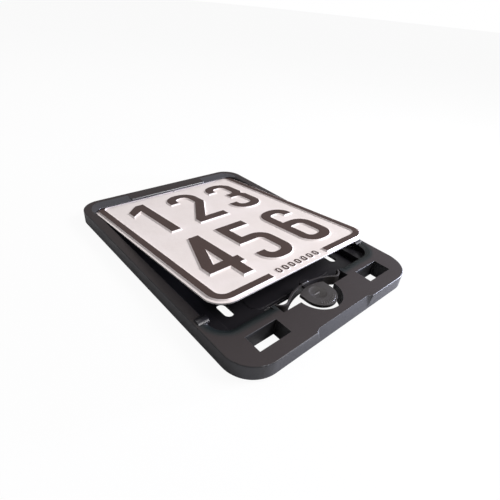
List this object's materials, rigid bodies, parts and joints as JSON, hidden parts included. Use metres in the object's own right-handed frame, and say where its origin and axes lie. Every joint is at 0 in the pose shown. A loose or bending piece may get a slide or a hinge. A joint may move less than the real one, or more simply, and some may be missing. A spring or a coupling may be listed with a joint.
{
  "type": "license plate bracket",
  "caption": "Moulded licence plate holder for a small motorbike, with a far lip, side nubs, slotted floor, press latch and a raised plate.",
  "frame": {"origin": "middle of the holder's outline, at the level of its mounting face", "axes": "+X to the right of the plate as it is read, +Y from the button end to the lip, +Z away from the mounting face"},
  "size_m": [0.1182, 0.1594, 0.0201],
  "materials": {
    "black_plastic": "moulded, matt top, glossier walls and well",
    "latch_plastic": "moulded, fine matt",
    "white_sheet": "pressed aluminium sheet with a white face and dark brown print on its raised parts"
  },
  "bodies": {
    "holder": {"holder": "black_plastic", "number_plate": "white_sheet"},
    "latch": {"press_latch": "latch_plastic"}
  },
  "joints": [
    {"name": "button_press", "type": "hinge", "parent": "holder", "child": "latch", "pos_m": [0, -0.0578, 0.0065], "axis": [1, 0, 0], "range_deg": [0, 10], "stiffness_Nm_per_rad": 0.15}
  ]
}
